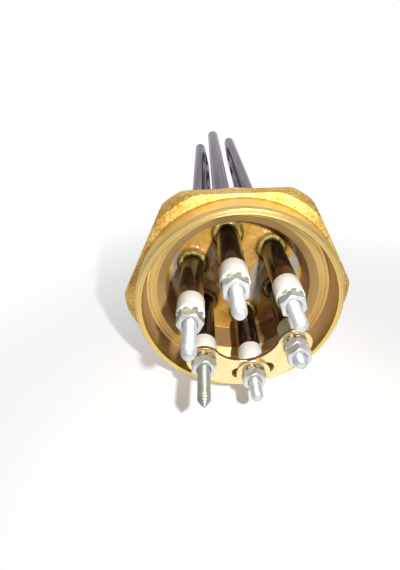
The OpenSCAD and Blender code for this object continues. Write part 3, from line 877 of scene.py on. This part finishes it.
# star bridge and the plain washer over its slot
bridge = {
    "level": 22.2, "innerR": 11.6, "outerR": 22.2, "eyeR": 5.5, "thick": 1.2, "holeR": 2.15, "sharp": 35,
    "slotHalf": 2.15, "slotEndR": 2.25, "slotSwing": 16.44, "rows": 5,
    "armPoints": 14, "eyePoints": 41, "middlePoints": 25, "cutPoints": 11,
    "softEdge": 0.14, "softSteps": 2, "softAngle": 45,
}
washer = {
    "outerR": 5.6, "boreR": 2.06, "thick": 0.8, "rounds": [0.1, 0.15, 0.25, 0.15], "around": 72, "sharp": 50,
}
bridgeTop = bridge["level"] + bridge["thick"]
washerTop = bridgeTop + washer["thick"]
washerSeat = terminals["bushEnd"][:3] + [bridgeTop, washerTop, bridgeTop]
for i, name in enumerate(terminals["names"]):
    grid = lockGrid(i, washerSeat[i], lock["turnStep"] * i)
    # the lock washers, between bush and nut, take the darker zinc as painted shade
    ringPiece("lockWasher." + name, grid, shadedZinc, "lock_washer_" + name, lock["sharp"])
    seat = washerSeat[i] + lock["height"] + (nut["jamHeight"] if i == lowerRight else 0)
    grid = nutGrid(i, seat, nut["height"], nut["turns"][i])
    ringPiece("nut." + name, grid, zinc, "nut_" + name, nut["sharp"])
grid = nutGrid(lowerRight, washerSeat[lowerRight] + lock["height"], nut["jamHeight"], nut["jamTurn"])
ringPiece("jamNut.lower_right", grid, zinc, "jam_nut_lower_right", nut["sharp"])
grid = nutGrid(lowerMiddle, terminals["bushEnd"][lowerMiddle], nut["underHeight"], nut["underTurn"])
ringPiece("underNut.lower_middle", grid, zinc, "under_nut_lower_middle", nut["sharp"])
washerSection = roundedLoop([
    (washer["boreR"], bridgeTop), (washer["outerR"], bridgeTop),
    (washer["outerR"], washerTop), (washer["boreR"], washerTop),
], washer["rounds"])
grid = turned(washerSection, lowerMiddle, washer["around"])
ringPiece("plainWasher", grid, bridgeBrass, "plain_washer", washer["sharp"])
print("nuts and washers on")


# points on an arc about (a, b)
def arcPoints(a, b, r, start, end, count):
    angle = np.radians(np.linspace(start, end, count))
    return np.stack([a + r * np.cos(angle), b + r * np.sin(angle)], -1)


# points between the ends of a straight cut, without the ends
def cutPoints(start, end):
    return np.linspace(start, end, bridge["cutPoints"])[1:-1]


# degrees from an eye's middle to where its edge meets an arc of the bridge, by the cosine rule
def eyeMeets(r):
    return math.degrees(math.acos((r ** 2 + circleR ** 2 - bridge["eyeR"] ** 2) / (2 * r * circleR)))


# one end of the bridge, from the cut to round its eye: the loop of its zone, its hole and its outer edge
def bridgeEnd(middle, sign, index):
    p, a, b = bridge, terminalA[index], terminalB[index]
    end, cut = middle + sign * apart, middle + sign * apart / 2
    outer = arcPoints(0, 0, p["outerR"], cut, end - sign * eyeMeets(p["outerR"]), p["armPoints"])
    inner = arcPoints(0, 0, p["innerR"], end - sign * eyeMeets(p["innerR"]), cut, p["armPoints"])
    first = math.degrees(math.atan2(outer[-1, 1] - b, outer[-1, 0] - a))
    last = math.degrees(math.atan2(inner[0, 1] - b, inner[0, 0] - a))
    swing = np.mod(sign * (last - first), 360) * sign
    eye = arcPoints(a, b, p["eyeR"], first, first + swing, p["eyePoints"])
    edge = np.concatenate([outer, eye[1:-1], inner])
    loop = np.concatenate([edge, cutPoints(inner[-1], outer[0])])
    away = loop - (a, b)
    hole = (a, b) + p["holeR"] * away / np.linalg.norm(away, axis=1, keepdims=True)
    return loop, hole, edge


# one round end of the slot, half a circle about the end of its middle line
def slotEnd(at, start):
    centre = arcPoints(0, 0, circleR, at, at, 1)[0]
    return arcPoints(*centre, bridge["slotEndR"], at + start, at + start + 180, bridge["cutPoints"])[1:-1]


# three zones ruled from hole to edge on both faces, with walls round the edge, the holes and the slot
def buildBridge():
    p, middle = bridge, terminals["angles"][lowerMiddle] + circleTurn
    swing, count = p["slotSwing"], p["middlePoints"]
    low, high = middle - apart / 2, middle + apart / 2
    rightLoop, rightHole, rightEdge = bridgeEnd(middle, 1, lowerRight)
    leftLoop, leftHole, leftEdge = bridgeEnd(middle, -1, lowerLeft)
    outer = arcPoints(0, 0, p["outerR"], low, high, count)
    inner = arcPoints(0, 0, p["innerR"], high, low, count)
    loop = np.concatenate([outer, cutPoints(outer[-1], inner[0]), inner, cutPoints(inner[-1], outer[0])])
    slotOuter = arcPoints(0, 0, circleR + p["slotHalf"], middle - swing, middle + swing, count)
    slotInner = arcPoints(0, 0, circleR - p["slotHalf"], middle + swing, middle - swing, count)
    slot = np.concatenate([slotOuter, slotEnd(middle + swing, 0), slotInner, slotEnd(middle - swing, 180)])
    v = np.linspace(0, 1, p["rows"])[:, None, None]
    zones = [hole + v * (edge - hole) for hole, edge in
             ((rightHole, rightLoop), (leftHole, leftLoop), (slot, loop))]
    faces, grids = (p["level"], bridgeTop), []
    for level in faces:
        grids += [(laid(zone[..., 0], zone[..., 1], level), False, True) for zone in zones]
    for line in (rightHole, leftHole, slot, np.concatenate([outer, rightEdge, inner, leftEdge[::-1]])):
        grids.append((np.stack([laid(*line.T, level) for level in faces]), False, True))
    piece = makePiece("starBridge", grids, bridgeBrass, ["star_bridge"], p["sharp"])
    softEdge = piece.modifiers.new("softEdge", "BEVEL")
    softEdge.width = p["softEdge"] * mm
    softEdge.segments = p["softSteps"]
    softEdge.limit_method = "ANGLE"
    softEdge.angle_limit = math.radians(p["softAngle"])
    softEdge.harden_normals = True


buildBridge()
print("star bridge cut")

# table: pale plane that touches the hexagon's lower edge and the lowest bend, near white to the camera
table = {
    "tilt": 3.62, "touch": -35.0, "size": 4.0,  # degrees, millimetres, metres
    "paint": {"Base Color": (0.90, 0.90, 0.91, 1), "Roughness": 0.7, "Specular IOR Level": 0.2},
    "brightest": (0.02, -0.06, -0.037), "span": (0.03, 0.22), "lift": (0.17, 0.85), "mirrored": 0.65,
}


# height rises with Y by the tangent of the tilt, and the glow grows with distance from the brightest spot
def buildTable():
    p = table
    half = p["size"] / 2
    x, y = np.meshgrid([-half, half], [-half, half])
    z = p["touch"] * mm + math.tan(math.radians(p["tilt"])) * y
    mesh = bpy.data.meshes.new("table")
    mesh.from_pydata(np.stack([x, y, z], -1).reshape(-1, 3).tolist(), [], [(0, 1, 3, 2)])
    plane = bpy.data.objects.new("table", mesh)
    bpy.context.scene.collection.objects.link(plane)
    look, tree, shader, place = newLook("paleTable")
    path = put(tree, "ShaderNodeLightPath")
    mirrored = times(tree, mirroredRay(tree, path), p["mirrored"])
    seen = sums(tree, "MAXIMUM", path.outputs["Is Camera Ray"], mirrored)
    away = lengthOf(tree, vectors(tree, "SUBTRACT", place, p["brightest"]))
    glow = times(tree, seen, ranged(tree, away, *p["lift"], p["span"]))
    feed(tree, shader, {"Emission Color": (1, 1, 1, 1), "Emission Strength": glow, **p["paint"]})
    mesh.materials.append(look)


buildTable()


# stands a lamp or camera in the scene: its right, up and back directions, and its place in millimetres
def standing(name, data, right, up, back, place):
    holder = bpy.data.objects.new(name, data)
    bpy.context.scene.collection.objects.link(holder)
    sides = np.stack([right, up, back, np.array(place) * mm], -1)
    holder.matrix_world = Matrix(sides.tolist() + [[0, 0, 0, 1]])
    return holder


# light: white to the camera, a room in mirrors that is dimmer low down and behind the camera, a weak fill for
# the rest, and one small lamp a little right of the camera
light = {
    "roomSpan": (-0.7, 0.3), "room": (0.22, 1.0), "heightSpan": (0, 0.7), "height": (0.68, 1),
    "fillSpan": (-0.2, 0.5), "fill": (0.03, 0.4),
    "lampPlace": (15, -98.5, 62), "lampAt": (0, -5, -2), "lampSize": 0.005, "lampPower": 0.172,
    "lampColour": (1, 0.985, 0.965),
}


def buildLight():
    p = light
    world = bpy.data.worlds.new("whiteRoom")
    bpy.context.scene.world = world
    world.use_nodes = True
    tree = world.node_tree
    tree.nodes.clear()
    path = put(tree, "ShaderNodeLightPath")
    towards = put(tree, "ShaderNodeSeparateXYZ", {0: put(tree, "ShaderNodeTexCoord").outputs["Generated"]})
    toBack, upward = towards.outputs["Y"], towards.outputs["Z"]
    room = ranged(tree, toBack, *p["room"], p["roomSpan"])
    room = times(tree, room, ranged(tree, upward, *p["height"], p["heightSpan"]))
    fill = ranged(tree, toBack, *p["fill"], p["fillSpan"])
    mirrored = mirroredRay(tree, path)
    fill = times(tree, fill, sums(tree, "SUBTRACT", 1, mirrored))
    lit = plus(tree, times(tree, room, mirrored), fill)
    strength = sums(tree, "MAXIMUM", path.outputs["Is Camera Ray"], lit)
    sky = put(tree, "ShaderNodeBackground", {"Color": (1, 1, 1, 1), "Strength": strength})
    put(tree, "ShaderNodeOutputWorld", {"Surface": sky.outputs[0]})
    lamp = bpy.data.lights.new("softLamp", "AREA")
    lamp.shape = "DISK"
    lamp.size = p["lampSize"]
    lamp.energy = p["lampPower"]
    lamp.color = p["lampColour"]
    back = np.array(p["lampPlace"]) - p["lampAt"]
    back /= np.linalg.norm(back)
    right = np.cross([0, 0, 1.0], back)
    right /= np.linalg.norm(right)
    holder = standing("softLamp", lamp, right, np.cross(back, right), back, p["lampPlace"])
    holder.visible_camera = False


buildLight()

# camera: stands in front and above, looking down into the cup
view = {
    "place": (-8.164, -103.851, 63.201), "yaw": 4.391, "pitch": 37.880, "roll": -0.667,
    "focalPixels": 342.60, "centre": (238.52, 331.67), "frame": (400, 570),
    "sensor": 36, "nearest": 0.005, "farthest": 20,
}


def buildCamera():
    p = view
    yaw, pitch, roll = np.radians([p["yaw"], p["pitch"], p["roll"]])
    ahead = np.array([math.sin(yaw) * math.cos(pitch), math.cos(yaw) * math.cos(pitch), -math.sin(pitch)])
    level = np.array([math.cos(yaw), -math.sin(yaw), 0])
    upright = np.cross(level, ahead)
    right = level * math.cos(roll) + upright * math.sin(roll)
    up = -level * math.sin(roll) + upright * math.cos(roll)
    (wide, high), (centreX, centreY) = p["frame"], p["centre"]
    camera = bpy.data.cameras.new("camera")
    camera.sensor_width = p["sensor"]
    camera.lens = camera.sensor_width * p["focalPixels"] / high
    camera.shift_x = (wide / 2 - centreX) / high
    camera.shift_y = (centreY - high / 2) / high
    camera.clip_start = p["nearest"]
    camera.clip_end = p["farthest"]
    bpy.context.scene.camera = standing("camera", camera, right, up, -ahead, p["place"])


buildCamera()
bpy.context.scene.view_settings.view_transform = "Standard"
print("table, light and camera set")
